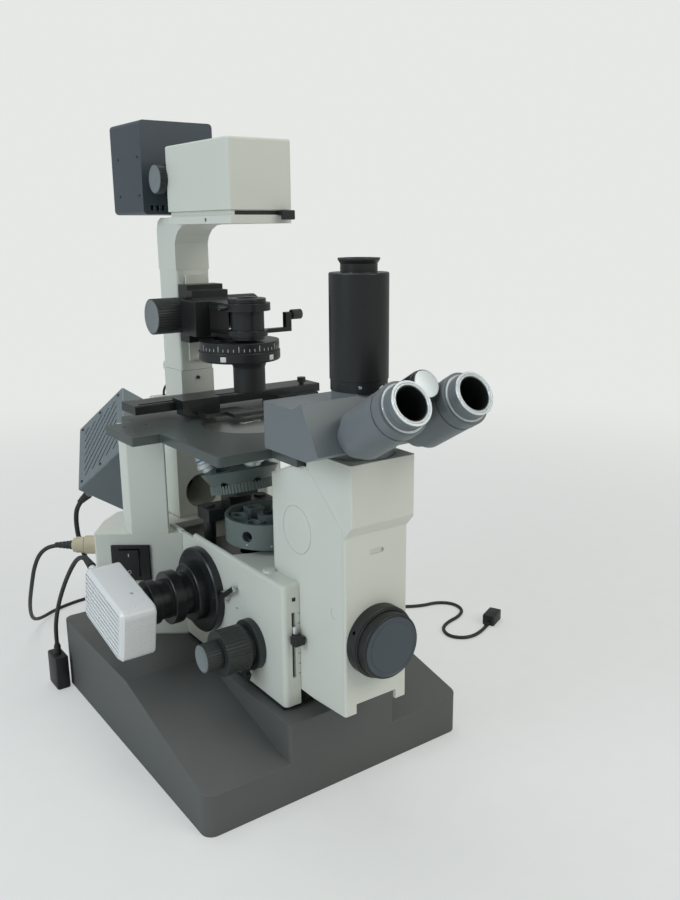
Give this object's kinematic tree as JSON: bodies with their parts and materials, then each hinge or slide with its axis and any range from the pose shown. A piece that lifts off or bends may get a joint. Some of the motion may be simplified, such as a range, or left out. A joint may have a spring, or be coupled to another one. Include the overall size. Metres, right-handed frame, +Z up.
{
  "type": "inverted microscope",
  "caption": "Inverted research microscope with trinocular head, tilting illumination pillar, condenser, mechanical stage, side camera and rear arc lamp.",
  "frame": {"origin": "table plane under the common axis of objective and condenser", "axes": "+X to the user's right, +Y away from the user, +Z up"},
  "size_m": [0.6101, 0.7909, 0.684],
  "materials": {
    "base_grey": "fine texture",
    "white_enamel": "satin",
    "black_metal": "satin black",
    "black_plastic": "matte",
    "steel": "satin",
    "camera_white": "semi-gloss",
    "beige_plastic": "matte",
    "optical_glass": "polished",
    "cable_rubber": "matte"
  },
  "bodies": {
    "stand": {"base_casting": "base_grey", "bottom_cover": "base_grey", "body_block": "white_enamel", "inner_frame": "black_metal", "nose_housing": "white_enamel", "side_panels": "white_enamel", "front_port": "black_metal", "rear_housing": "white_enamel", "stage_posts": "white_enamel", "switch_bezel": "black_plastic", "supply_socket": "beige_plastic", "port_flange": "black_metal", "port_adapter": "black_metal", "camera_body": "camera_white", "focus_bosses": "black_metal", "stage_plate": "black_metal", "stage_insert": "steel", "pillar_foot": "white_enamel", "lamp_lead": "cable_rubber", "trinocular_housing": "black_metal", "photo_tube": "black_metal", "pivot_hub": "black_metal", "arc_housing": "black_metal", "arc_louvres": "black_metal", "arc_neck": "black_metal", "arc_cable": "cable_rubber", "arc_coil": "cable_rubber", "camera_cable": "cable_rubber", "supply_cable": "cable_rubber", "cord_plugs": "cable_rubber"},
    "rocker": {"rocker_switch": "black_plastic"},
    "coarse": {"coarse_knobs": "black_plastic"},
    "fine": {"fine_knobs": "black_plastic"},
    "tension": {"tension_lever": "black_plastic"},
    "light": {"light_slider": "black_plastic"},
    "selector": {"selector_lever": "steel"},
    "focus": {"focus_carriage": "black_metal"},
    "nosepiece": {"nosepiece_turret": "black_metal", "objectives": "steel"},
    "drum": {"filter_turret": "black_metal"},
    "stage_y": {"y_carriage": "black_metal"},
    "stage_x": {"specimen_holder": "black_metal"},
    "knob_upper": {"stage_knob_upper": "black_plastic"},
    "knob_lower": {"stage_knob_lower": "black_plastic"},
    "pillar": {"pillar": "white_enamel", "pillar_arm": "white_enamel", "head_box": "white_enamel", "field_lens": "optical_glass", "lamp_collar": "black_metal", "lamp_housing": "black_metal"},
    "filter": {"filter_slider": "black_plastic"},
    "condenser": {"condenser_carriage": "black_metal", "condenser_tube": "black_metal", "condenser_lens": "black_metal"},
    "condenser_knob": {"condenser_knobs": "black_plastic"},
    "condenser_disc": {"condenser_turret": "black_metal"},
    "aperture": {"aperture_lever": "black_plastic"},
    "eye_left": {"eyetube_left": "black_metal"},
    "eye_right": {"eyetube_right": "black_metal"}
  },
  "joints": [
    {"name": "focus_slide", "type": "slide", "parent": "stand", "child": "focus", "axis": [0, 0, 1], "range_m": [-0.006, 0.0015]},
    {"name": "coarse_turn", "type": "hinge", "parent": "stand", "child": "coarse", "pos_m": [0, -0.087, 0.14], "axis": [1, 0, 0], "range_deg": [-60, 16]},
    {"name": "fine_turn", "type": "hinge", "parent": "coarse", "child": "fine", "pos_m": [0, -0.087, 0.14], "axis": [1, 0, 0], "continuous": true},
    {"name": "tension_turn", "type": "hinge", "parent": "stand", "child": "tension", "pos_m": [0, -0.087, 0.14], "axis": [1, 0, 0], "range_deg": [-20, 20]},
    {"name": "light_slide", "type": "slide", "parent": "stand", "child": "light", "axis": [0, 0, 1], "range_m": [-0.035, 0.009]},
    {"name": "selector_turn", "type": "hinge", "parent": "stand", "child": "selector", "pos_m": [-0.06, -0.034, 0.176], "axis": [1, 0, 0], "range_deg": [-20, 20]},
    {"name": "rocker_turn", "type": "hinge", "parent": "stand", "child": "rocker", "pos_m": [-0.10504, 0.11136, 0.1806], "axis": [0.8147, -0.5799, 0], "range_deg": [-5, 5]},
    {"name": "nosepiece_turn", "type": "hinge", "parent": "focus", "child": "nosepiece", "pos_m": [0, 0, 0.1845], "axis": [0, 0.2588, 0.9659], "continuous": true},
    {"name": "drum_turn", "type": "hinge", "parent": "stand", "child": "drum", "pos_m": [0, -0.032, 0.246], "axis": [0, 0, 1], "continuous": true},
    {"name": "stage_y_slide", "type": "slide", "parent": "stand", "child": "stage_y", "axis": [0, 1, 0], "range_m": [-0.03, 0.012]},
    {"name": "stage_x_slide", "type": "slide", "parent": "stage_y", "child": "stage_x", "axis": [1, 0, 0], "range_m": [-0.03, 0.04]},
    {"name": "knob_upper_turn", "type": "hinge", "parent": "stage_y", "child": "knob_upper", "pos_m": [0.122, 0.076, 0.3], "axis": [0, 0, 1], "range_deg": [-320, 160]},
    {"name": "knob_lower_turn", "type": "hinge", "parent": "stage_y", "child": "knob_lower", "pos_m": [0.122, 0.076, 0.27], "axis": [0, 0, 1], "range_deg": [-320, 420]},
    {"name": "pillar_tilt", "type": "hinge", "parent": "stand", "child": "pillar", "pos_m": [0, 0.178, 0.3995], "axis": [-1, 0, 0], "range_deg": [0, 30]},
    {"name": "filter_slide", "type": "slide", "parent": "pillar", "child": "filter", "axis": [0, -1, 0], "range_m": [0, 0.03]},
    {"name": "condenser_slide", "type": "slide", "parent": "pillar", "child": "condenser", "axis": [0, 0, 1], "range_m": [-0.006, 0.012]},
    {"name": "condenser_knob_turn", "type": "hinge", "parent": "condenser", "child": "condenser_knob", "pos_m": [0, 0.1, 0.4685], "axis": [1, 0, 0], "range_deg": [-110, 220]},
    {"name": "condenser_disc_turn", "type": "hinge", "parent": "condenser", "child": "condenser_disc", "pos_m": [0, 0.02, 0.435], "axis": [0, 0, 1], "continuous": true},
    {"name": "aperture_turn", "type": "hinge", "parent": "condenser", "child": "aperture", "pos_m": [0, 0, 0.455], "axis": [0, 0, 1], "range_deg": [-25, 25]},
    {"name": "eye_right_turn", "type": "hinge", "parent": "stand", "child": "eye_right", "pos_m": [0, 0.11705, 0.20274], "axis": [0, -0.866, 0.5], "range_deg": [-17, 14]},
    {"name": "eye_left_turn", "type": "hinge", "parent": "stand", "child": "eye_left", "pos_m": [0, 0.11705, 0.20274], "axis": [0, -0.866, 0.5], "range_deg": [-14, 17]}
  ],
  "couplings": [
    {"joint": "coarse_turn", "follows": "focus_slide", "rad_per_m": 170.7},
    {"joint": "knob_upper_turn", "follows": "stage_y_slide", "rad_per_m": 180},
    {"joint": "knob_lower_turn", "follows": "stage_x_slide", "rad_per_m": 180},
    {"joint": "condenser_knob_turn", "follows": "condenser_slide", "rad_per_m": 314},
    {"joint": "eye_left_turn", "follows": "eye_right_turn", "ratio": -1}
  ]
}
